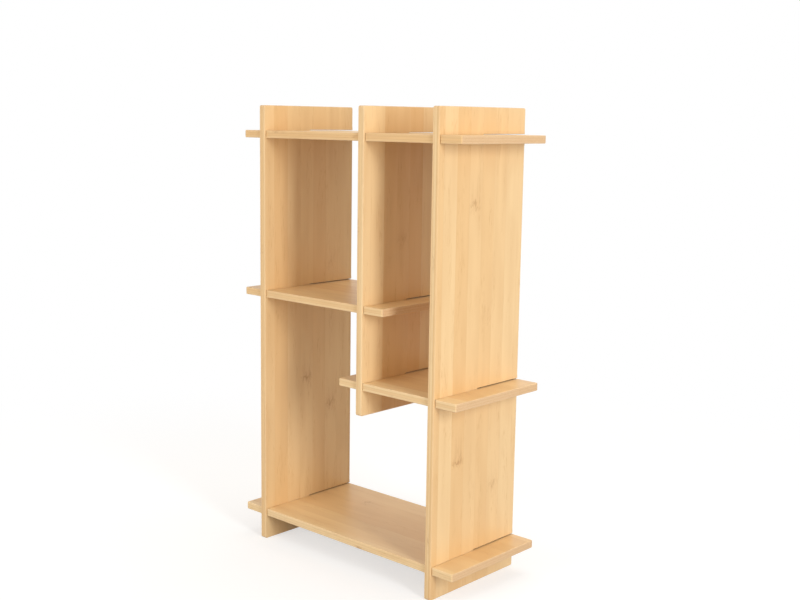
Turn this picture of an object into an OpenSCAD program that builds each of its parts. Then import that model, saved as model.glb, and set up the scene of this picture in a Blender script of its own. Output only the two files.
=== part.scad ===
// Free-standing plant stand made of seven laminated bamboo boards.
// Three uprights carry four shelves. Every crossing is a halved joint: the upright is
// notched from its back edge to mid-depth, the shelf is slotted from its front edge to
// mid-depth, and the shelf slides forward until the two cuts meet. No fasteners, no glue.
// The origin is on the floor, at the middle of the stand's width and depth. The front is -Y.

/* [Stand] */
// Height of the two side uprights
stand_h = 724; // [680:2:800]
// Depth of the uprights from front to back
stand_d = 200; // [160:5:260]
// Clear width between the left and the middle upright
left_bay_w = 210; // [180:5:260]
// Clear width between the middle and the right upright
right_bay_w = 134; // [120:2:200]

/* [Shelf heights] */
// Top of the lower right shelf above the floor
lower_right_z = 306; // [270:2:330]
// Top of the upper left shelf above the floor
upper_left_z = 425; // [385:5:480]

/* [Boards] */
// Thickness of every board
board_t = 12; // [10:0.5:16]
// Length of a shelf past the last upright it crosses
shelf_end = 40; // [30:1:50]
// Length of an upright past the last shelf it carries
upright_end = 40; // [30:1:50]
// Distance of the shelf fronts behind the upright fronts
front_setback = 2.5; // [1:0.5:6]
// Radius of the eased edges of a board
edge_r = 1.2; // [0.8:0.1:2]
// Radius of the corners of a board, seen square to its wide face
corner_r = 3; // [2:0.5:8]

/* [Joints] */
// Room above a shelf in the notch that carries it
notch_play = 0.8; // [0.4:0.1:1.5]
// Room for an upright in the width of a shelf slot, both sides together
slot_play = 0.8; // [0.4:0.1:1.5]
// Radius that eases the mouth of a notch or slot
mouth_r = 1; // [0.5:0.1:2]

/* [Hidden] */
$fn = 48;

upright_color = "#e9c795";
shelf_color = "#e2bd8c";

// How far a cut runs past the board that it cuts, so that no skin is left
over = 1;

// Left faces of the three uprights
stand_w = 2 * shelf_end + 3 * board_t + left_bay_w + right_bay_w;
left_x = shelf_end - stand_w / 2;
middle_x = left_x + board_t + left_bay_w;
right_x = middle_x + board_t + right_bay_w;

// Front edge of the uprights and of the shelves; the two cuts of a joint meet at y = 0
upright_front = -stand_d / 2;
shelf_front = upright_front + front_setback;

// Undersides of the four shelves, which rest on the lower walls of the notches
bottom_under = upright_end;
lower_right_under = lower_right_z - board_t;
upper_left_under = upper_left_z - board_t;
top_under = stand_h - upright_end - board_t;
middle_bottom = lower_right_under - upright_end;

// Rectangle with round corners, its lower left corner at the origin
module round_rect(w, h, r) {
    translate([r, 0]) square([w - 2 * r, h]);
    translate([0, r]) square([w, h - 2 * r]);
    for (x = [r, w - r], y = [r, h - r])
        translate([x, y]) circle(r);
}

// Uncut board lying flat with its long side along X: round corners and eased edges
module board(l, w) {
    intersection() {
        linear_extrude(board_t) round_rect(l, w, corner_r);
        translate([0, w, 0]) rotate([90, 0, 0]) linear_extrude(w) round_rect(l, board_t, edge_r);
        rotate([90, 0, 90]) linear_extrude(l) round_rect(w, board_t, edge_r);
    }
}

// Cut through a flat board, w wide, from its edge along X to the depth l along +Y
module joint_cut(w, l) {
    translate([0, 0, -over])
        linear_extrude(board_t + 2 * over) {
            translate([-w / 2, -over]) square([w, l + over]);
            difference() {
                translate([-w / 2 - mouth_r, -over]) square([w + 2 * mouth_r, over + mouth_r]);
                for (side = [-1, 1])
                    translate([side * (w / 2 + mouth_r), mouth_r]) circle(mouth_r);
            }
        }
}

// Upright with its left face at x, from z up to the top, notched for each shelf underside
module upright(x, z, undersides) {
    translate([x + board_t, 0, 0])
        rotate([0, -90, 0])
            difference() {
                translate([z, upright_front, 0]) board(stand_h - z, stand_d);
                for (under = undersides)
                    translate([under + (board_t + notch_play) / 2, -upright_front, 0])
                        mirror([0, 1, 0]) joint_cut(board_t + notch_play, stand_d / 2);
            }
}

// Shelf whose underside is at z, slotted for each upright, with a free end past both outer ones
module shelf(z, upright_xs) {
    first = upright_xs[0] - shelf_end;
    last = upright_xs[len(upright_xs) - 1] + board_t + shelf_end;
    translate([0, 0, z])
        difference() {
            translate([first, shelf_front, 0]) board(last - first, stand_d - front_setback);
            for (x = upright_xs)
                translate([x + board_t / 2, shelf_front, 0])
                    joint_cut(board_t + slot_play, -shelf_front);
        }
}

module left_upright() {
    color(upright_color) upright(left_x, 0, [bottom_under, upper_left_under, top_under]);
}

// The middle upright hangs from the shelves and ends above the bottom bay
module middle_upright() {
    color(upright_color)
        upright(middle_x, middle_bottom, [lower_right_under, upper_left_under, top_under]);
}

module right_upright() {
    color(upright_color) upright(right_x, 0, [bottom_under, lower_right_under, top_under]);
}

module top_shelf() {
    color(shelf_color) shelf(top_under, [left_x, middle_x, right_x]);
}

module upper_left_shelf() {
    color(shelf_color) shelf(upper_left_under, [left_x, middle_x]);
}

module lower_right_shelf() {
    color(shelf_color) shelf(lower_right_under, [middle_x, right_x]);
}

module bottom_shelf() {
    color(shelf_color) shelf(bottom_under, [left_x, right_x]);
}

left_upright();
middle_upright();
right_upright();
top_shelf();
upper_left_shelf();
lower_right_shelf();
bottom_shelf();
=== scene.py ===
"""Plant stand of seven slotted bamboo boards, dressed over the packed frame.

Each board is made by one Geometry Nodes tree: a rounded outline with a slot at every crossing, given
its thickness and eased edges. One material draws the laminated bamboo inside each board's own volume,
so faces, edges and ends show the same strips. The front of the stand looks along -Y, Z is up, and all
lengths are metres unless a name or a comment says mm.
"""

import math

import bpy
from bpy.props import FloatProperty, FloatVectorProperty, PointerProperty
from mathutils import Matrix, Vector


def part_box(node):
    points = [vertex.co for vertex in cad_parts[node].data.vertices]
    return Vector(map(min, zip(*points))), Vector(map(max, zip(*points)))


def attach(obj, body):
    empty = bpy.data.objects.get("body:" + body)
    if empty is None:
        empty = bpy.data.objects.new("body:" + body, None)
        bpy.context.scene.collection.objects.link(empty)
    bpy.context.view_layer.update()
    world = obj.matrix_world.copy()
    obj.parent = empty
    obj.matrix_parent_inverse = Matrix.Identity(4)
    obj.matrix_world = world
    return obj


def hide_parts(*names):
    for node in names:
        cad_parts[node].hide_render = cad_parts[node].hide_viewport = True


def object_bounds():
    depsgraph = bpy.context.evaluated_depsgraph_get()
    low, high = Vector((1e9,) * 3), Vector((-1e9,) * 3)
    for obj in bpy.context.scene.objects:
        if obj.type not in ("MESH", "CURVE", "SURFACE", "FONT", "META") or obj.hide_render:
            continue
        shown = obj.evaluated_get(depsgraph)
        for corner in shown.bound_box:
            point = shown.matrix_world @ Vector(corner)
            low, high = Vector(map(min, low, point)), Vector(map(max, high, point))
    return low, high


bl_info = {
    "name": "Slotted Bamboo Plant Stand",
    "version": (1, 0, 0),
    "blender": (4, 5, 0),
    "location": "View3D > Sidebar > Plant Stand",
    "description": "Builds a plant stand of bamboo boards that slide together with halved cross joints",
    "category": "Object",
}

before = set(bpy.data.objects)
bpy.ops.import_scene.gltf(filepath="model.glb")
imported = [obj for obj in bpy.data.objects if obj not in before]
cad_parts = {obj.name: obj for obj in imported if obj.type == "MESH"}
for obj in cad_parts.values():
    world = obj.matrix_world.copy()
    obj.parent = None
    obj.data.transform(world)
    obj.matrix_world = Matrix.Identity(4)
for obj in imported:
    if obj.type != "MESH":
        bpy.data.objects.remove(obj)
CAD_BOX = [list(corner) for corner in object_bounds()]
UPRIGHTS = ("left_upright", "middle_upright", "right_upright")
SHELVES = ("top_shelf", "upper_left_shelf", "lower_right_shelf", "bottom_shelf")
STRIPS = {  # for each board, the seed of its strips and node marks, and the width of its first strip in mm
    "left_upright": (68475, 5.5),
    "middle_upright": (108127, 9.0),
    "right_upright": (6517, 13.0),
    "top_shelf": (16689, 17.0),
    "upper_left_shelf": (10948, 22.0),
    "lower_right_shelf": (6047, 26.0),
    "bottom_shelf": (189022, 11.0),
}
MM = 1000.0  # millimetres in a metre
WHITE = (1, 1, 1, 1)


def linear(code):
    """Turns an sRGB hex colour into linear red, green and blue."""
    parts = (int(code[i : i + 2], 16) / 255 for i in (1, 3, 5))
    return tuple(c / 12.92 if c <= 0.04045 else ((c + 0.055) / 1.055) ** 2.4 for c in parts)


def add(tree, kind, *values, **settings):
    """Adds a node with its settings. The values fill its inputs in order, and a dictionary fills them
    by number or name. A value is a number, a socket, or a node whose first live output is linked."""
    node = tree.nodes.new(kind)
    place = len(tree.nodes)
    node.location = (place // 8 * 220, place % 8 * -190)
    for key, value in settings.items():
        setattr(node, key, value)
    filled = {}
    for number, value in enumerate(values):
        filled.update(value if isinstance(value, dict) else {number: value})
    for key, value in filled.items():
        if value is None:
            continue
        if isinstance(value, bpy.types.Node):
            value = next(socket for socket in value.outputs if socket.enabled)
        if isinstance(value, bpy.types.NodeSocket):
            tree.links.new(value, node.inputs[key])
        else:
            node.inputs[key].default_value = value
    return node


# Board shape

SLOT_POINTS = 6  # outline points for each slot
CORNERS = 4  # outline points for the corners of the board
CORNER_STEPS = 5  # how finely a corner or mouth of the outline is rounded
ARRIS_STEPS = 4  # flat facets round an eased edge
FADE = 0.006  # length over which an outer edge's easing gives way to a slot's
EASE_MARGIN = 0.0001  # an edge eased by this much more than a slot's is no longer the slot's
WELD = 2e-6  # points closer than this become one
SHARP_ANGLE = math.radians(40)  # faces that meet at a larger angle keep a hard line between them

BOARD_INPUTS = (
    ("Slots", "NodeSocketGeometry", "One point at the middle of each slot's mouth, in order along X"),
    ("Length", "NodeSocketFloat", "Length of the board, along its grain"),
    ("Width", "NodeSocketFloat", "Width of the board, across its grain"),
    ("Thickness", "NodeSocketFloat", "Thickness of the board"),
    ("Corner Radius", "NodeSocketFloat", "Radius of the four corners of the wide face"),
    ("Edge Radius", "NodeSocketFloat", "Radius of the eased outer edges"),
    ("Slot Edge Radius", "NodeSocketFloat", "Radius of the eased edges round a slot"),
    ("Slot Width", "NodeSocketFloat", "Width of each slot"),
    ("Slot Depth", "NodeSocketFloat", "Depth of each slot, from the edge at Y = 0"),
    ("Mouth Radius", "NodeSocketFloat", "Radius that eases the mouth of a slot"),
    ("Board Seed", "NodeSocketFloat", "Gives each board its own strips and node marks"),
    ("First Strip", "NodeSocketFloat", "Width of the upper ply's first strip, narrowed by the board's edge"),
    ("Location", "NodeSocketVector", "Place of the board's first corner in the stand"),
    ("Rotation", "NodeSocketRotation", "Turn of the board in the stand"),
    ("Material", "NodeSocketMaterial", "Finish of the board"),
)


def slotted_board_tree():
    """Builds the tree that makes a board from its sizes and the places of its slots."""
    tree = bpy.data.node_groups.new("Slotted board", "GeometryNodeTree")
    for name, kind, text in BOARD_INPUTS:
        tree.interface.new_socket(name, description=text, in_out="INPUT", socket_type=kind)
    tree.interface.new_socket("Board", in_out="OUTPUT", socket_type="NodeSocketGeometry")
    given = add(tree, "NodeGroupInput").outputs
    math_node, vector_node = "ShaderNodeMath", "ShaderNodeVectorMath"
    store_node, sample_node = "GeometryNodeStoreNamedAttribute", "GeometryNodeSampleIndex"

    # Each slot has a bottom, a mouth and a fade point on either side, 0.5, 1.5 and 2.5 from its middle
    # in their order along the outline
    index = add(tree, "GeometryNodeInputIndex")
    slots = add(tree, "GeometryNodeAttributeDomainSize", given["Slots"]).outputs["Point Count"]
    last = add(tree, math_node, slots, SLOT_POINTS, operation="MULTIPLY")
    turn = add(tree, math_node, index, 1.0, operation="SUBTRACT")
    number = add(tree, math_node, turn, SLOT_POINTS, operation="DIVIDE")
    number = add(tree, math_node, number, operation="FLOOR")
    step = add(tree, math_node, turn, SLOT_POINTS, operation="FLOORED_MODULO")
    side = add(tree, math_node, step, (SLOT_POINTS - 1) / 2, operation="SUBTRACT")
    sign = add(tree, math_node, side, operation="SIGN")
    reach = add(tree, math_node, side, operation="ABSOLUTE")
    is_fade = add(tree, math_node, reach, 2.0, operation="GREATER_THAN")
    is_bottom = add(tree, math_node, reach, 1.0, operation="LESS_THAN")
    is_mouth = add(tree, math_node, reach, 1.5, 0.25, operation="COMPARE")
    middle = add(tree, sample_node, given["Slots"], add(tree, "GeometryNodeInputPosition"), number,
                 data_type="FLOAT_VECTOR", clamp=True)
    middle_x = add(tree, "ShaderNodeSeparateXYZ", middle).outputs["X"]
    half = add(tree, math_node, given["Slot Width"], 0.5, operation="MULTIPLY")
    beyond = add(tree, math_node, given["Mouth Radius"], FADE, operation="ADD")
    away = add(tree, math_node, is_fade, beyond, half, operation="MULTIPLY_ADD")
    slot_x = add(tree, math_node, sign, away, middle_x, operation="MULTIPLY_ADD")
    slot_y = add(tree, math_node, is_bottom, given["Slot Depth"], operation="MULTIPLY")
    slot_round = add(tree, math_node, is_mouth, given["Mouth Radius"], operation="MULTIPLY")

    # The first outline point and the last three are the corners of the board
    after = add(tree, math_node, index, last, operation="SUBTRACT")
    at_end = add(tree, math_node, after, 1.5, 0.75, operation="COMPARE")
    at_back = add(tree, math_node, after, 1.5, operation="GREATER_THAN")
    corner_x = add(tree, math_node, at_end, given["Length"], operation="MULTIPLY")
    corner_y = add(tree, math_node, at_back, given["Width"], operation="MULTIPLY")
    past_first = add(tree, math_node, index, 0.5, operation="GREATER_THAN")
    before_last = add(tree, math_node, after, 0.5, operation="LESS_THAN")
    on_slot = add(tree, math_node, past_first, before_last, operation="MULTIPLY")
    x = add(tree, "ShaderNodeMix", on_slot, {2: corner_x, 3: slot_x})
    y = add(tree, "ShaderNodeMix", on_slot, {2: corner_y, 3: slot_y})
    corner_round = add(tree, "ShaderNodeMix", on_slot, {2: given["Corner Radius"], 3: slot_round})
    not_fade = add(tree, math_node, 1.0, is_fade, operation="SUBTRACT")
    is_cut = add(tree, math_node, on_slot, not_fade, operation="MULTIPLY")
    ease = add(tree, "ShaderNodeMix", is_cut, {2: given["Edge Radius"], 3: given["Slot Edge Radius"]})

    # Closed outline, counter-clockwise, with its corners and mouths rounded
    count = add(tree, math_node, last, CORNERS, operation="ADD")
    points = add(tree, "GeometryNodePoints", count, add(tree, "ShaderNodeCombineXYZ", x, y, 0.0))
    points = add(tree, store_node, points, {"Name": "round", "Value": corner_round})
    points = add(tree, store_node, points, {"Name": "ease", "Value": ease})
    outline = add(tree, "GeometryNodePointsToCurves", points, 0, index)
    outline = add(tree, "GeometryNodeSetSplineCyclic", outline, {"Cyclic": True})
    radius = add(tree, "GeometryNodeInputNamedAttribute", "round").outputs[0]
    rounding = {"Radius": radius, "Count": CORNER_STEPS}
    outline = add(tree, "GeometryNodeFilletCurve", outline, rounding, mode="POLY")

    # Inward mitre of each outline point, so that moving along it gives a parallel outline
    total = add(tree, "GeometryNodeAttributeDomainSize", outline, component="CURVE").outputs["Point Count"]
    here = add(tree, "GeometryNodeInputPosition")
    normals = []
    for shift in (0.0, 1.0):
        ahead = add(tree, math_node, index, shift, operation="ADD")
        ahead = add(tree, math_node, ahead, total, operation="FLOORED_MODULO")
        behind = add(tree, math_node, index, shift - 1.0, operation="ADD")
        behind = add(tree, math_node, behind, total, operation="FLOORED_MODULO")
        to = add(tree, "GeometryNodeFieldAtIndex", here, ahead, data_type="FLOAT_VECTOR")
        start = add(tree, "GeometryNodeFieldAtIndex", here, behind, data_type="FLOAT_VECTOR")
        run = add(tree, vector_node, to, start, operation="SUBTRACT")
        run = add(tree, vector_node, run, operation="NORMALIZE")
        normals.append(add(tree, vector_node, (0, 0, 1), run, operation="CROSS_PRODUCT"))
    both = add(tree, vector_node, *normals, operation="ADD")
    agree = add(tree, vector_node, *normals, operation="DOT_PRODUCT")
    agree = add(tree, math_node, agree, 1.0, operation="ADD")
    shrink = add(tree, math_node, 1.0, agree, operation="DIVIDE")
    mitre = add(tree, vector_node, both, {"Scale": shrink}, operation="SCALE")
    ease = add(tree, "GeometryNodeInputNamedAttribute", "ease").outputs[0]
    inset = add(tree, vector_node, mitre, {"Scale": ease}, operation="SCALE")

    # Side wall: a grid of rings round the outline, with the edges eased on quarter circles
    rings = 2 * ARRIS_STEPS + 2
    columns = add(tree, math_node, total, 1.0, operation="ADD")
    wall = add(tree, "GeometryNodeMeshGrid", 1.0, 1.0, rings, columns)
    ring = add(tree, math_node, add(tree, math_node, index, columns, operation="DIVIDE"), operation="FLOOR")
    column = add(tree, math_node, index, columns, operation="FLOORED_MODULO")
    column = add(tree, math_node, column, total, operation="FLOORED_MODULO")
    mirrored = add(tree, math_node, float(rings - 1), ring, operation="SUBTRACT")
    from_face = add(tree, math_node, ring, mirrored, operation="MINIMUM")
    angle = add(tree, math_node, from_face, math.pi / 2 / ARRIS_STEPS, operation="MULTIPLY")
    inward = add(tree, math_node, 1.0, add(tree, math_node, angle, operation="SINE"), operation="SUBTRACT")
    rise = add(tree, math_node, 1.0, add(tree, math_node, angle, operation="COSINE"), operation="SUBTRACT")
    place, move, easing = [
        add(tree, sample_node, outline, value, column, data_type=kind)
        for value, kind in ((here, "FLOAT_VECTOR"), (inset, "FLOAT_VECTOR"), (ease, "FLOAT"))
    ]
    lift = add(tree, math_node, easing, rise, operation="MULTIPLY")
    under_top = add(tree, math_node, given["Thickness"], lift, operation="SUBTRACT")
    is_upper = add(tree, math_node, ring, ARRIS_STEPS + 0.5, operation="GREATER_THAN")
    height = add(tree, "ShaderNodeMix", is_upper, {2: lift, 3: under_top})
    height = add(tree, "ShaderNodeCombineXYZ", 0.0, 0.0, height)
    spot = add(tree, vector_node, move, inward, place, operation="MULTIPLY_ADD")
    spot = add(tree, vector_node, spot, height, operation="ADD")
    wall = add(tree, "GeometryNodeSetPosition", wall, {"Position": spot})
    slot_ease = add(tree, math_node, given["Slot Edge Radius"], EASE_MARGIN, operation="ADD")
    in_slot = add(tree, math_node, easing, slot_ease, operation="LESS_THAN")
    in_slot = add(tree, "GeometryNodeFieldOnDomain", in_slot, domain="POINT")
    wall = add(tree, store_node, wall, {"Name": "slot_wall", "Value": in_slot}, domain="FACE")
    wall = add(tree, "GeometryNodeFlipFaces", wall)

    # Flat faces inside the eased edges
    rim = add(tree, "GeometryNodeSetPosition", outline, {"Offset": inset})
    lower = add(tree, "GeometryNodeFillCurve", rim, mode="NGONS")
    thick = add(tree, "ShaderNodeCombineXYZ", 0.0, 0.0, given["Thickness"])
    upper = add(tree, "GeometryNodeTransform", lower, thick)
    lower = add(tree, "GeometryNodeFlipFaces", lower)
    solid = add(tree, "GeometryNodeJoinGeometry", wall)
    for part in (lower, upper):
        tree.links.new(part.outputs[0], solid.inputs[0])
    solid = add(tree, "GeometryNodeMergeByDistance", solid, {"Distance": WELD})

    # Where each point lies in its board, for the material
    size = add(tree, "ShaderNodeCombineXYZ", given["Length"], given["Width"], given["Thickness"])
    facing = add(tree, "ShaderNodeSeparateXYZ", add(tree, "GeometryNodeInputNormal")).outputs["X"]
    cut = add(tree, math_node, facing, operation="ABSOLUTE")
    for name, value, kind, domain in (
        ("grain", here, "FLOAT_VECTOR", "POINT"),
        ("board_size", size, "FLOAT_VECTOR", "POINT"),
        ("board_seed", given["Board Seed"], "FLOAT", "POINT"),
        ("first_strip", given["First Strip"], "FLOAT", "POINT"),
        ("cross_cut", cut, "FLOAT", "FACE"),
    ):
        solid = add(tree, store_node, solid, {"Name": name, "Value": value}, data_type=kind, domain=domain)
    solid = add(tree, "GeometryNodeSetShadeSmooth", solid, None, True)
    bend = add(tree, "GeometryNodeInputMeshEdgeAngle").outputs["Unsigned Angle"]
    is_sharp = add(tree, math_node, bend, SHARP_ANGLE, operation="GREATER_THAN")
    solid = add(tree, "GeometryNodeSetShadeSmooth", solid, is_sharp, False, domain="EDGE")
    solid = add(tree, "GeometryNodeTransform", solid, given["Location"], given["Rotation"])
    solid = add(tree, "GeometryNodeRealizeInstances", solid)
    solid = add(tree, "GeometryNodeSetMaterial", solid, {"Material": given["Material"]})
    add(tree, "NodeGroupOutput", solid)
    return tree


def crossings(name, settings):
    """Gives the size of a board, the middles of its slots along it, their width and depth, and its place."""
    low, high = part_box(name)
    size = high - low
    is_upright = name in UPRIGHTS
    middles = []
    for other in SHELVES if is_upright else UPRIGHTS:
        first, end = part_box(other)
        meets = all(first[i] < high[i] and low[i] < end[i] for i in range(3))
        if meets and is_upright:
            middles.append(first.z + (size.x + settings.notch_play) / 2 - low.z)
        elif meets:
            middles.append((first.x + end.x) / 2 - low.x)
    if is_upright:
        # Up the stand, from back to front, and from left to right
        turn = Matrix(((0, 0, 1), (0, -1, 0), (1, 0, 0)))
        place = Vector((low.x, high.y, low.z))
        return (size.z, size.y, size.x), sorted(middles), size.x + settings.notch_play, high.y, place, turn
    turn = Matrix.Identity(3)
    return (size.x, size.y, size.z), sorted(middles), size.z + settings.slot_play, -low.y, low, turn


def make_board(name, material, settings):
    """Makes one board with the tree, as a plain mesh in its place, and lets it stand for its CAD node."""
    size, middles, width, depth, place, turn = crossings(name, settings)
    if not middles:
        raise RuntimeError(f"{name} crosses no other board")
    seed, first_mm = STRIPS[name]
    tree = bpy.data.node_groups.get("Slotted board") or slotted_board_tree()
    mesh = bpy.data.meshes.new(name + "_slots")
    mesh.from_pydata([(x, 0, 0) for x in middles], [], [])
    source = bpy.data.objects.new(name + "_slots", mesh)
    bpy.context.scene.collection.objects.link(source)
    rule = source.modifiers.new("Slotted board", "NODES")
    rule.node_group = tree
    sockets = {item.name: item.identifier for item in tree.interface.items_tree}
    for key, value in {
        "Length": size[0],
        "Width": size[1],
        "Thickness": size[2],
        "Corner Radius": settings.corner_radius,
        "Edge Radius": settings.edge_radius,
        "Slot Edge Radius": settings.slot_edge_radius,
        "Slot Width": width,
        "Slot Depth": depth,
        "Mouth Radius": settings.mouth_radius,
        "Board Seed": float(seed),
        "First Strip": first_mm / MM,
        "Location": place,
        "Rotation": turn.to_euler(),
        "Material": material,
    }.items():
        rule[sockets[key]] = value
    shading = source.modifiers.new("Even shading of the flat faces", "WEIGHTED_NORMAL")
    shading.keep_sharp = True
    evaluated = source.evaluated_get(bpy.context.evaluated_depsgraph_get())
    board = bpy.data.meshes.new_from_object(evaluated)
    bpy.data.objects.remove(source)
    bpy.data.meshes.remove(mesh)
    if not board.polygons:
        raise RuntimeError(f"the board tree made nothing for {name}")
    board.name = name + "_board"
    piece = bpy.data.objects.new(name + "_board", board)
    bpy.context.scene.collection.objects.link(piece)
    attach(piece, "root")
    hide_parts(name)


# Finish, with its sizes in millimetres

PLY_MM = 4.02  # a little over a third of the board, so that its upper face is inside the last ply
PLY_SHIFT_MM = 23.0  # how far the strips of the lower ply lie beside those of the upper one
CANE_MM = 4000.0  # length of bamboo from which each strip is cut at its own place
PATTERNS = (  # length along the grain, width, and noise detail
    (260.0, 14.0, 1.0),  # soft streaks
    (80.0, 24.0, 0.0),  # broad clouds
    (90.0, 1.5, 2.0),  # fibres
    (15.0, 1.3, 1.0),  # short dashes of fibre bundles
    (120.0, 14.0, 1.0),  # patches where fibres and dashes show
)
NODE_SCATTER_MM = 60.0  # how far a node may lie from its even place along the strip
NODE_ASIDE_MM = 5.0  # and from the middle of the strip
SECOND_DRAW = 7.3  # the fraction of a random number times this serves as one more
WAVE_MM = (14, 6, 6)  # size of the waves that make a mark uneven
WAVE_ALONG_MM, WAVE_ACROSS_MM = 5.0, 3.0  # how far they move it
STROKES_MM2, CLOUD_MM2 = 150, 50  # squares of the radii at which a mark's strokes and cloud drop to a third
STROKE_WIDTH_MM, STROKE_LENGTH_MM = 2.7, 14
STROKE_SHIFT = 7.7  # moves the pattern of the strokes on from strip to strip
TAIL_MM = 55.0  # length of the lines on one side of a mark
TAIL_SIDE_MM = (5.0, 13.0)  # distances from its middle over which the tail fades
RING_PER_MM2 = 0.8  # how sharply the line across the strip fades
GLUE_CORE_MM, GLUE_EDGE_MM = 0.1, 0.4  # half widths of a glue line, full and faded
WORN_MM = (0.3, 2.4)  # distances from an arris over which its wear fades
PORES_PER_MM = 0.7
PORE_STRETCH = 0.02  # pores are fifty times as long, along the grain, as they are wide


def laminated_bamboo(name, look, browned_and_shaded):
    """Flat-laminated bamboo, sanded, under a satin clear lacquer: the eye sees straw-coloured strips three
    centimetres wide that differ a little in tone, soft streaks along them, here and there the brown mark
    of a node, three plies in the edges and pale pored end grain. The walls of the cuts are bare and
    brown from the cutter, and their dark brown is also painted shade in the gaps of the joints."""
    material = bpy.data.materials.get(name)
    if material:
        return material
    material = bpy.data.materials.new(name)
    material.use_nodes = True
    tree = material.node_tree
    tree.nodes.clear()
    math_node, noise_node, range_node = "ShaderNodeMath", "ShaderNodeTexNoise", "ShaderNodeMapRange"
    vector_node, chance_node = "ShaderNodeVectorMath", "ShaderNodeTexWhiteNoise"
    soft = {"interpolation_type": "SMOOTHSTEP"}
    strip_mm, node_mm = look.strip_width * MM, look.node_spacing * MM

    # Place in the board in millimetres: along the grain, across it, and through the thickness
    grain = add(tree, "ShaderNodeAttribute", attribute_name="grain").outputs["Vector"]
    size = add(tree, "ShaderNodeAttribute", attribute_name="board_size").outputs["Vector"]
    seed = add(tree, "ShaderNodeAttribute", attribute_name="board_seed").outputs["Fac"]
    seed = add(tree, math_node, seed, operation="ROUND")
    first = add(tree, "ShaderNodeAttribute", attribute_name="first_strip").outputs["Fac"]
    cut = add(tree, "ShaderNodeAttribute", attribute_name="cross_cut").outputs["Fac"]
    # Walls of the slots; the dark brown laid on them below is partly painted shade that darkens the joints'
    # gaps
    bare = add(tree, "ShaderNodeAttribute", attribute_name="slot_wall").outputs["Fac"]
    grain = add(tree, vector_node, grain, {"Scale": MM}, operation="SCALE")
    size = add(tree, vector_node, size, {"Scale": MM}, operation="SCALE")
    along, across, through = add(tree, "ShaderNodeSeparateXYZ", grain).outputs

    # Strips of one width in three plies of 4 mm, each strip with its own random numbers
    ply = add(tree, math_node, through, 1 / PLY_MM, operation="MULTIPLY")
    ply_number = add(tree, math_node, ply, operation="FLOOR")
    lane = add(tree, math_node, first, -MM, across, operation="MULTIPLY_ADD")
    shift = add(tree, range_node, ply_number, 0.0, 2.0, PLY_SHIFT_MM, 0.0)
    lane = add(tree, math_node, lane, shift, operation="ADD")
    lane = add(tree, math_node, lane, strip_mm, operation="DIVIDE")
    strip = add(tree, math_node, lane, operation="FLOOR")
    off_middle = add(tree, math_node, lane, operation="FRACT")
    off_middle = add(tree, math_node, off_middle, 0.5, operation="SUBTRACT")
    off_middle = add(tree, math_node, off_middle, strip_mm, operation="MULTIPLY")
    one_strip = add(tree, "ShaderNodeCombineXYZ", strip, ply_number, seed)
    chance = add(tree, chance_node, one_strip, noise_dimensions="3D").outputs["Color"]
    tone, hue, start = add(tree, "ShaderNodeSeparateColor", chance).outputs
    own_along = add(tree, math_node, start, CANE_MM, along, operation="MULTIPLY_ADD")
    own = add(tree, "ShaderNodeCombineXYZ", own_along, across, through)

    # Patterns along the grain; a range gives the levels of the noise between which its pattern comes up
    patterns = []
    for length, width, detail in PATTERNS:
        scaled = add(tree, vector_node, own, (1 / length, 1 / width, 1 / width), operation="MULTIPLY")
        noise = add(tree, noise_node, scaled, {"Scale": 1.0, "Detail": detail, "Roughness": 0.5})
        patterns.append(noise.outputs["Fac"])
    streak, haze, fibre, bundle, patch = patterns
    dash = add(tree, range_node, bundle, 0.54, 0.68, 0.0, 1.0, **soft)
    patch = add(tree, range_node, patch, 0.5, 0.64, 0.05, 1.0, **soft)
    dash = add(tree, math_node, dash, patch, operation="MULTIPLY")
    thread = add(tree, range_node, fibre, 0.42, 0.7, 0.0, 1.0)
    thread = add(tree, math_node, thread, patch, operation="MULTIPLY")

    # A node in every quarter of a metre of a strip, most of them hardly seen, and the distances in mm
    # from it along and across the strip
    turn = add(tree, math_node, own_along, 1 / node_mm, operation="MULTIPLY")
    node_number = add(tree, math_node, turn, operation="FLOOR")
    chance = add(tree, chance_node, one_strip, node_number, noise_dimensions="4D").outputs["Color"]
    strength, shift, kind = add(tree, "ShaderNodeSeparateColor", chance).outputs
    strength = add(tree, range_node, strength, 0.6, 0.97, 0.0, 1.0)
    shift = add(tree, range_node, shift, 0.0, 1.0, -NODE_SCATTER_MM, NODE_SCATTER_MM)
    past = add(tree, math_node, turn, operation="FRACT")
    past = add(tree, math_node, past, 0.5, operation="SUBTRACT")
    past = add(tree, math_node, past, node_mm, operation="MULTIPLY")
    past = add(tree, math_node, past, shift, operation="ADD")
    aside = add(tree, math_node, kind, SECOND_DRAW, operation="MULTIPLY")
    aside = add(tree, math_node, aside, operation="FRACT")
    aside = add(tree, range_node, aside, 0.0, 1.0, -NODE_ASIDE_MM, NODE_ASIDE_MM)
    aside = add(tree, math_node, off_middle, aside, operation="SUBTRACT")
    wave = add(tree, vector_node, own, tuple(1 / length for length in WAVE_MM), operation="MULTIPLY")
    wave = add(tree, noise_node, wave, {"Scale": 1.0, "Detail": 1.0}).outputs["Fac"]
    along_wave = add(tree, range_node, wave, 0.3, 0.7, -WAVE_ALONG_MM, WAVE_ALONG_MM)
    across_wave = add(tree, range_node, wave, 0.3, 0.7, WAVE_ACROSS_MM, -WAVE_ACROSS_MM)
    past = add(tree, math_node, along_wave, past, operation="ADD")
    aside = add(tree, math_node, across_wave, aside, operation="ADD")

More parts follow.
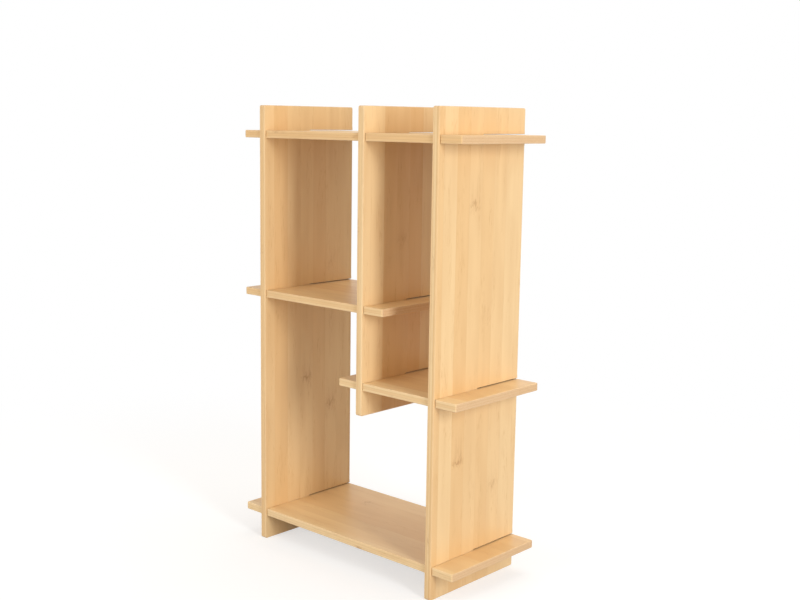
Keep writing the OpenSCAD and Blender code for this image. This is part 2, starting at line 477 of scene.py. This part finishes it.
    # The mark of a node: a soft brown cloud, strokes of fibres that fan out round it, a tail of lines on
    # one side, and a faint line across the strip
    squat = add(tree, range_node, kind, 0.0, 1.0, 0.7, 1.3)
    flat = add(tree, math_node, past, squat, operation="MULTIPLY")
    flat = add(tree, math_node, flat, flat, operation="MULTIPLY")
    distance = add(tree, math_node, aside, aside, flat, operation="MULTIPLY_ADD")
    body = add(tree, math_node, distance, -1 / STROKES_MM2, operation="MULTIPLY")
    body = add(tree, math_node, body, operation="EXPONENT")
    core = add(tree, math_node, distance, -1 / CLOUD_MM2, operation="MULTIPLY")
    core = add(tree, math_node, core, operation="EXPONENT")
    cloud = add(tree, math_node, core, kind, operation="MULTIPLY")
    beside = add(tree, math_node, aside, operation="ABSOLUTE")
    slant = add(tree, range_node, kind, 0.0, 1.0, -0.2, -0.5)
    fan = add(tree, math_node, past, slant, beside, operation="MULTIPLY_ADD")
    strokes = add(tree, "ShaderNodeCombineXYZ", *(
        add(tree, math_node, part, 1 / length, operation="MULTIPLY")
        for part, length in ((fan, STROKE_WIDTH_MM), (past, STROKE_LENGTH_MM), (aside, STROKE_LENGTH_MM))
    ))
    own_strokes = add(tree, vector_node, one_strip, {"Scale": STROKE_SHIFT}, operation="SCALE")
    strokes = add(tree, vector_node, strokes, own_strokes, operation="ADD")
    strokes = add(tree, noise_node, strokes, {"Scale": 1.0, "Detail": 1.0}).outputs["Fac"]
    strokes = add(tree, range_node, strokes, 0.48, 0.62, 0.0, 1.0, **soft)
    strokes = add(tree, math_node, strokes, body, operation="MULTIPLY")
    tail = add(tree, range_node, past, 0.0, TAIL_MM, 1.0, 0.0)
    for part in (
        add(tree, range_node, past, -2.0, 4.0, 0.0, 1.0),
        add(tree, range_node, beside, *TAIL_SIDE_MM, 1.0, 0.0, **soft),
    ):
        tail = add(tree, math_node, tail, part, operation="MULTIPLY")
    lines = add(tree, range_node, fibre, 0.46, 0.62, 0.0, 1.0, **soft)
    lines = add(tree, math_node, tail, lines, operation="MULTIPLY")
    ring = add(tree, math_node, past, past, operation="MULTIPLY")
    ring = add(tree, math_node, ring, -RING_PER_MM2, operation="MULTIPLY")
    ring = add(tree, math_node, ring, operation="EXPONENT")
    mark = add(tree, math_node, strokes, 0.6, operation="MULTIPLY")
    for part, amount in ((cloud, 0.6), (lines, 0.35), (tail, 0.12), (ring, 0.2)):
        mark = add(tree, math_node, part, amount, mark, operation="MULTIPLY_ADD")
    mark = add(tree, math_node, mark, strength, operation="MULTIPLY", use_clamp=True)

    # Glue lines between the strips and between the plies, drawn 0.5 mm wide so that they just show
    border = add(tree, math_node, off_middle, operation="ABSOLUTE")
    joint = add(tree, range_node, border, strip_mm / 2 - GLUE_EDGE_MM, strip_mm / 2 - GLUE_CORE_MM, 0.0, 0.3)
    nearest = add(tree, math_node, ply, operation="ROUND")
    glue = add(tree, math_node, ply, nearest, operation="SUBTRACT")
    glue = add(tree, math_node, glue, operation="ABSOLUTE")
    glue = add(tree, range_node, glue, 0.03, 0.08, 1.0, 0.0, **soft)
    inner = add(tree, math_node, ply, 1.5, 1.0, operation="COMPARE")
    glue = add(tree, math_node, glue, inner, operation="MULTIPLY")
    joint = add(tree, math_node, joint, glue, operation="MAXIMUM")

    # Distance to the nearest arris is the middle one of the distances to the board's three pairs of faces
    rest = add(tree, vector_node, size, grain, operation="SUBTRACT")
    nearest = add(tree, vector_node, grain, rest, operation="MINIMUM")
    to_end, to_edge, to_face = add(tree, "ShaderNodeSeparateXYZ", nearest).outputs
    smaller = add(tree, math_node, to_end, to_edge, operation="MINIMUM")
    larger = add(tree, math_node, to_end, to_edge, operation="MAXIMUM")
    larger = add(tree, math_node, larger, to_face, operation="MINIMUM")
    to_arris = add(tree, math_node, smaller, larger, operation="MAXIMUM")
    worn = add(tree, range_node, to_arris, *WORN_MM, 1.0, 0.0, **soft)
    worn = add(tree, math_node, worn, fibre, operation="MULTIPLY")

    # End grain with the pores of the fibre bundles, drawn twice as coarse as real so that they show
    end = add(tree, range_node, cut, 0.5, 0.9, 0.0, 1.0)
    deep = add(tree, math_node, along, PORE_STRETCH, operation="MULTIPLY")
    pores = add(tree, "ShaderNodeCombineXYZ", across, through, deep)
    pores = add(tree, "ShaderNodeTexVoronoi", pores, {"Scale": PORES_PER_MM}).outputs["Distance"]
    pores = add(tree, range_node, pores, 0.2, 0.4, 1.0, 0.0, **soft)
    pores = add(tree, math_node, pores, end, operation="MULTIPLY")

    # Colour: each pattern between two of its levels, how much of its colour it lays on, and the colour
    colour = add(tree, "ShaderNodeMix", tone, {6: (*look.tan, 1), 7: (*look.straw, 1)}, data_type="RGBA")
    for amount, low, high, shade, tint in (
        (hue, 0.0, 1.0, 0.6, look.honey),
        (streak, 0.35, 0.7, 0.09, look.fibre),
        (haze, 0.45, 0.7, 0.1, look.fibre),
        (thread, 0.0, 1.0, 0.1, look.fibre),
        (dash, 0.0, 1.0, 0.24, look.fibre),
        (mark, 0.0, 1.0, 0.55, look.node_brown),
        (end, 0.0, 1.0, 0.9, look.end_grain),
        (pores, 0.0, 1.0, 0.4, look.fibre),
        (joint, 0.0, 1.0, 0.28, look.node_brown),
        (worn, 0.0, 1.0, 0.35, look.sanded),
        # painted shade: the cut walls' dark brown darkens the gaps of the joints, beside the cutter's
        # browning
        (bare, 0.5, 0.9, browned_and_shaded, look.cut_wall_and_shade),
    ):
        part = add(tree, range_node, amount, low, high, 0.0, shade)
        colour = add(tree, "ShaderNodeMix", part, {6: colour, 7: (*tint, 1)}, data_type="RGBA")

    # Relief in millimetres under the lacquer
    relief = add(tree, math_node, fibre, 0.012, operation="MULTIPLY")
    for part, height in (
        (streak, 0.03), (dash, -0.008), (mark, -0.015), (joint, -0.03), (pores, -0.03), (worn, -0.02),
    ):
        relief = add(tree, math_node, part, height, relief, operation="MULTIPLY_ADD")
    bump = add(tree, "ShaderNodeBump", {"Strength": 1.0, "Distance": 1 / MM, "Height": relief})

    # Gloss of the lacquer, duller on end grain and worn arrises, and nearly none in the bare cuts
    gloss = look.gloss_roughness
    rough = add(tree, range_node, fibre, 0.3, 0.7, gloss - 0.04, gloss + 0.04)
    for part, more in ((end, 0.15), (worn, 0.1), (bare, 0.4)):
        rough = add(tree, math_node, part, more, rough, operation="MULTIPLY_ADD")
    shine = add(tree, range_node, bare, 0.5, 0.9, 0.5, 0.1)
    shader = add(tree, "ShaderNodeBsdfPrincipled", {
        "Base Color": colour, "Roughness": rough, "Normal": bump, "IOR": 1.5, "Specular IOR Level": shine,
    })
    add(tree, "ShaderNodeOutputMaterial", shader)
    return material


class BoardSettings(bpy.types.PropertyGroup):
    """Sizes of the boards that the frame does not give"""

    corner_radius: FloatProperty(
        name="Corner Radius", description="Radius of a board's corners",
        default=0.003, min=0, unit="LENGTH")
    edge_radius: FloatProperty(
        name="Edge Radius", description="Radius of a board's eased outer edges",
        default=0.0012, min=0, unit="LENGTH")
    slot_edge_radius: FloatProperty(
        name="Slot Edge Radius", description="Radius of the eased edges round a slot",
        default=0.0003, min=0, unit="LENGTH")
    mouth_radius: FloatProperty(
        name="Mouth Radius", description="Radius that eases the mouth of a slot",
        default=0.001, min=0, unit="LENGTH")
    notch_play: FloatProperty(
        name="Notch Play", description="Room above a shelf in an upright's notch",
        default=0.0012, min=0, unit="LENGTH")
    slot_play: FloatProperty(
        name="Slot Play", description="Room for an upright in the width of a shelf's slot",
        default=0.0008, min=0, unit="LENGTH")


class BambooSettings(bpy.types.PropertyGroup):
    """Colours and sizes of the laminated bamboo"""

    straw: FloatVectorProperty(
        name="Straw", description="Palest colour of the strips",
        default=linear("#F3D5A4"), min=0, max=1, subtype="COLOR")
    honey: FloatVectorProperty(
        name="Honey", description="Most common colour of the strips",
        default=linear("#EDCB98"), min=0, max=1, subtype="COLOR")
    tan: FloatVectorProperty(
        name="Tan", description="Deepest colour of the strips",
        default=linear("#E7BF88"), min=0, max=1, subtype="COLOR")
    fibre: FloatVectorProperty(
        name="Fibre", description="Colour of the fibres and the pores",
        default=linear("#C08A48"), min=0, max=1, subtype="COLOR")
    node_brown: FloatVectorProperty(
        name="Node Brown", description="Colour of the node marks and glue lines",
        default=linear("#A5682E"), min=0, max=1, subtype="COLOR")
    end_grain: FloatVectorProperty(
        name="End Grain", description="Colour of the sawn ends",
        default=linear("#DBB88F"), min=0, max=1, subtype="COLOR")
    sanded: FloatVectorProperty(
        name="Sanded", description="Pale colour of the worn arrises",
        default=linear("#F0D6B4"), min=0, max=1, subtype="COLOR")
    # The cut walls' dark brown is partly browning from the cutter and partly painted shade in the joints'
    # gaps
    cut_wall_and_shade: FloatVectorProperty(
        name="Cut Wall and Shade", description="Colour of the bare, browned walls of the slots",
        default=linear("#643818"), min=0, max=1, subtype="COLOR")
    # The notches of the uprights take more of this painted shade than the slots of the shelves
    notch_browning_and_shade: FloatProperty(
        name="Notch Browning and Shade", description="How brown the cutter left the notches of the uprights, with painted shade in their gaps",
        default=0.85, min=0, max=1, subtype="FACTOR")
    slot_browning_and_shade: FloatProperty(
        name="Slot Browning and Shade", description="How brown the cutter left the slots of the shelves, with painted shade in their gaps",
        default=0.3, min=0, max=1, subtype="FACTOR")
    strip_width: FloatProperty(
        name="Strip Width", description="Width of a bamboo strip",
        default=0.029, min=0.005, unit="LENGTH")
    node_spacing: FloatProperty(
        name="Node Spacing", description="Usual distance between the nodes of a strip",
        default=0.25, min=0.05, unit="LENGTH")
    gloss_roughness: FloatProperty(
        name="Gloss Roughness", description="Roughness of the satin lacquer",
        default=0.4, min=0.1, max=1, subtype="FACTOR")


class StageSettings(bpy.types.PropertyGroup):
    """Camera and light"""

    camera_place: FloatVectorProperty(
        name="Camera Place", description="Where the camera stands",
        default=(1.236845, -1.322883, 0.703639), subtype="TRANSLATION", unit="LENGTH")
    camera_yaw: FloatProperty(
        name="Camera Yaw", description="Turn of the view from +Y towards -X",
        default=math.radians(42.374), unit="ROTATION")
    camera_pitch: FloatProperty(
        name="Camera Pitch", description="Tilt of the view above the horizon",
        default=math.radians(-8.918), unit="ROTATION")
    camera_roll: FloatProperty(
        name="Camera Roll", description="Turn of the view about its own axis",
        default=math.radians(0.851), unit="ROTATION")
    camera_lens: FloatProperty(
        name="Camera Lens", description="Focal length on a sensor 36 mm wide, in millimetres",
        default=51.624, min=1)
    key_watts: FloatProperty(
        name="Key Power", description="Power of the tall softbox on the right",
        default=41, min=0, unit="POWER")
    fill_watts: FloatProperty(
        name="Fill Power", description="Power of the softbox in front",
        default=36, min=0, unit="POWER")
    top_watts: FloatProperty(
        name="Top Power", description="Power of the softbox overhead",
        default=22.5, min=0, unit="POWER")
    world_level: FloatProperty(
        name="World Level", description="Strength of the even light from all sides",
        default=0.56, min=0)
    world_colour: FloatVectorProperty(
        name="World Colour", description="Colour of the even light, a little warm",
        default=linear("#FFF7EC"), min=0, max=1, subtype="COLOR")
    floor_colour: FloatVectorProperty(
        name="Floor Colour", description="Colour of the background paper",
        default=linear("#B8B8B8"), min=0, max=1, subtype="COLOR")


class PLANTSTAND_OT_uprights(bpy.types.Operator):
    """Make the three uprights, with a notch from the back for each shelf that they carry"""

    bl_idname = "plant_stand.uprights"
    bl_label = "Make Uprights"
    bl_options = {"REGISTER", "UNDO"}

    def execute(self, context):
        look = context.scene.plant_stand_bamboo
        # The notches' walls take the stronger painted shade, which darkens the gaps above the shelves
        material = laminated_bamboo("Laminated bamboo upright, satin lacquer", look, look.notch_browning_and_shade)
        for name in UPRIGHTS:
            make_board(name, material, context.scene.plant_stand_boards)
        return {"FINISHED"}


class PLANTSTAND_OT_shelves(bpy.types.Operator):
    """Make the four shelves, with a slot from the front for each upright that they cross"""

    bl_idname = "plant_stand.shelves"
    bl_label = "Make Shelves"
    bl_options = {"REGISTER", "UNDO"}

    def execute(self, context):
        look = context.scene.plant_stand_bamboo
        material = laminated_bamboo("Laminated bamboo shelf, satin lacquer", look, look.slot_browning_and_shade)
        for name in SHELVES:
            make_board(name, material, context.scene.plant_stand_boards)
        return {"FINISHED"}


# Stage

FLOOR_HALF = 12  # half the side of the floor
FLOOR_FADE = (0.45, 1.3)  # distances from the stand's middle over which the floor turns plain white
FLOOR_LIFT = 0.6  # how far the floor near the stand is lifted towards white for the eye
SENSOR_MM = 36
LAMPS = (
    # power setting, azimuth from +X towards -Y, elevation, distance, width, height; the angles in degrees
    ("key_watts", 15.5, 14.0, 2.7, 0.5, 1.6),
    ("fill_watts", 107.0, 13.0, 3.2, 1.6, 1.6),
    ("top_watts", -84.0, 71.0, 2.85, 2.0, 2.0),
)


def background_rays(tree):
    """Is 1 for the rays that show the background: to the eye, in gloss and through glass."""
    path = add(tree, "ShaderNodeLightPath").outputs
    seen = add(tree, "ShaderNodeMath", path["Is Camera Ray"], path["Is Glossy Ray"], operation="MAXIMUM")
    return add(tree, "ShaderNodeMath", seen, path["Is Transmission Ray"], operation="MAXIMUM")


class PLANTSTAND_OT_stage(bpy.types.Operator):
    """Lay the pale floor, hang the soft lamps and set up the camera"""

    bl_idname = "plant_stand.stage"
    bl_label = "Set Up Stage"
    bl_options = {"REGISTER", "UNDO"}

    def execute(self, context):
        scene = context.scene
        stage = scene.plant_stand_stage

        # Matt paper that takes the shadow close to the stand and runs out into plain white
        mesh = bpy.data.meshes.new("floor")
        corners = [(x * FLOOR_HALF, y * FLOOR_HALF, 0) for x, y in ((-1, -1), (1, -1), (1, 1), (-1, 1))]
        mesh.from_pydata(corners, [], [(0, 1, 2, 3)])
        floor = bpy.data.objects.new("floor", mesh)
        scene.collection.objects.link(floor)
        paper = bpy.data.materials.new("Matt white background paper")
        paper.use_nodes = True
        tree = paper.node_tree
        tree.nodes.clear()
        seen = background_rays(tree)
        spot = add(tree, "ShaderNodeTexCoord").outputs["Object"]
        away = add(tree, "ShaderNodeVectorMath", spot, operation="LENGTH")
        away = add(tree, "ShaderNodeMapRange", away, *FLOOR_FADE, 0.0, 1.0, interpolation_type="SMOOTHSTEP")
        away = add(tree, "ShaderNodeMath", away, seen, operation="MULTIPLY")
        lift = add(tree, "ShaderNodeMath", seen, FLOOR_LIFT, operation="MULTIPLY")
        glow = add(tree, "ShaderNodeEmission", WHITE, lift)
        matt = add(tree, "ShaderNodeBsdfDiffuse", (*stage.floor_colour, 1))
        near = add(tree, "ShaderNodeAddShader", matt, glow)
        white = add(tree, "ShaderNodeEmission", WHITE, 1.0)
        add(tree, "ShaderNodeOutputMaterial", add(tree, "ShaderNodeMixShader", away, near, white))
        mesh.materials.append(paper)

        # White all round to the eye and in the gloss, and an even fill light for the rest
        world = bpy.data.worlds.new("White studio")
        scene.world = world
        world.use_nodes = True
        tree = world.node_tree
        tree.nodes.clear()
        seen = background_rays(tree)
        room = add(tree, "ShaderNodeBackground", (*stage.world_colour, 1), stage.world_level)
        white = add(tree, "ShaderNodeBackground", WHITE, 1.0)
        add(tree, "ShaderNodeOutputWorld", add(tree, "ShaderNodeMixShader", seen, room, white))

        middle = (Vector(CAD_BOX[0]) + Vector(CAD_BOX[1])) / 2
        for power, azimuth, elevation, distance, width, height in LAMPS:
            name = power.replace("_watts", "_softbox")
            lamp = bpy.data.lights.new(name, "AREA")
            lamp.shape = "RECTANGLE"
            lamp.size, lamp.size_y = width, height
            lamp.energy = getattr(stage, power)
            body = bpy.data.objects.new(name, lamp)
            turned, raised = math.radians(azimuth), math.radians(elevation)
            flat = math.cos(raised)
            back = Vector((flat * math.cos(turned), -flat * math.sin(turned), math.sin(raised)))
            body.location = middle + distance * back
            body.rotation_euler = back.to_track_quat("Z", "Y").to_euler()
            body.visible_camera = body.visible_glossy = False  # the gloss mirrors the white room
            scene.collection.objects.link(body)

        eye = bpy.data.cameras.new("camera")
        eye.sensor_fit = "HORIZONTAL"
        eye.sensor_width = SENSOR_MM
        eye.lens = stage.camera_lens
        camera = bpy.data.objects.new("camera", eye)
        camera.matrix_world = (
            Matrix.Translation(stage.camera_place)
            @ Matrix.Rotation(stage.camera_yaw, 4, "Z")
            @ Matrix.Rotation(math.pi / 2 + stage.camera_pitch, 4, "X")
            @ Matrix.Rotation(stage.camera_roll, 4, "Z")
        )
        scene.collection.objects.link(camera)
        scene.camera = camera
        scene.view_settings.view_transform = "Standard"
        return {"FINISHED"}


class PLANTSTAND_PT_pieces(bpy.types.Panel):
    """Buttons for the pieces of the stand, and the sizes and colours that they take"""

    bl_idname = "PLANTSTAND_PT_pieces"
    bl_label = "Plant Stand"
    bl_space_type = "VIEW_3D"
    bl_region_type = "UI"
    bl_category = "Plant Stand"

    def draw(self, context):
        layout = self.layout
        for step in STEPS:
            layout.operator(step.bl_idname)
        for group, key in GROUPS.items():
            box = layout.box()
            box.label(text=group.__doc__)
            for setting in group.__annotations__:
                box.prop(getattr(context.scene, key), setting)


GROUPS = {
    BoardSettings: "plant_stand_boards",
    BambooSettings: "plant_stand_bamboo",
    StageSettings: "plant_stand_stage",
}
STEPS = (PLANTSTAND_OT_uprights, PLANTSTAND_OT_shelves, PLANTSTAND_OT_stage)
CLASSES = (*GROUPS, *STEPS, PLANTSTAND_PT_pieces)


def register():
    for kind in CLASSES:
        bpy.utils.register_class(kind)
    for group, key in GROUPS.items():
        setattr(bpy.types.Scene, key, PointerProperty(type=group))


def unregister():
    for key in GROUPS.values():
        delattr(bpy.types.Scene, key)
    for kind in reversed(CLASSES):
        bpy.utils.unregister_class(kind)


def main():
    register()
    bpy.ops.plant_stand.uprights()
    bpy.ops.plant_stand.shelves()
    bpy.ops.plant_stand.stage()


if __name__ == "__main__":
    main()
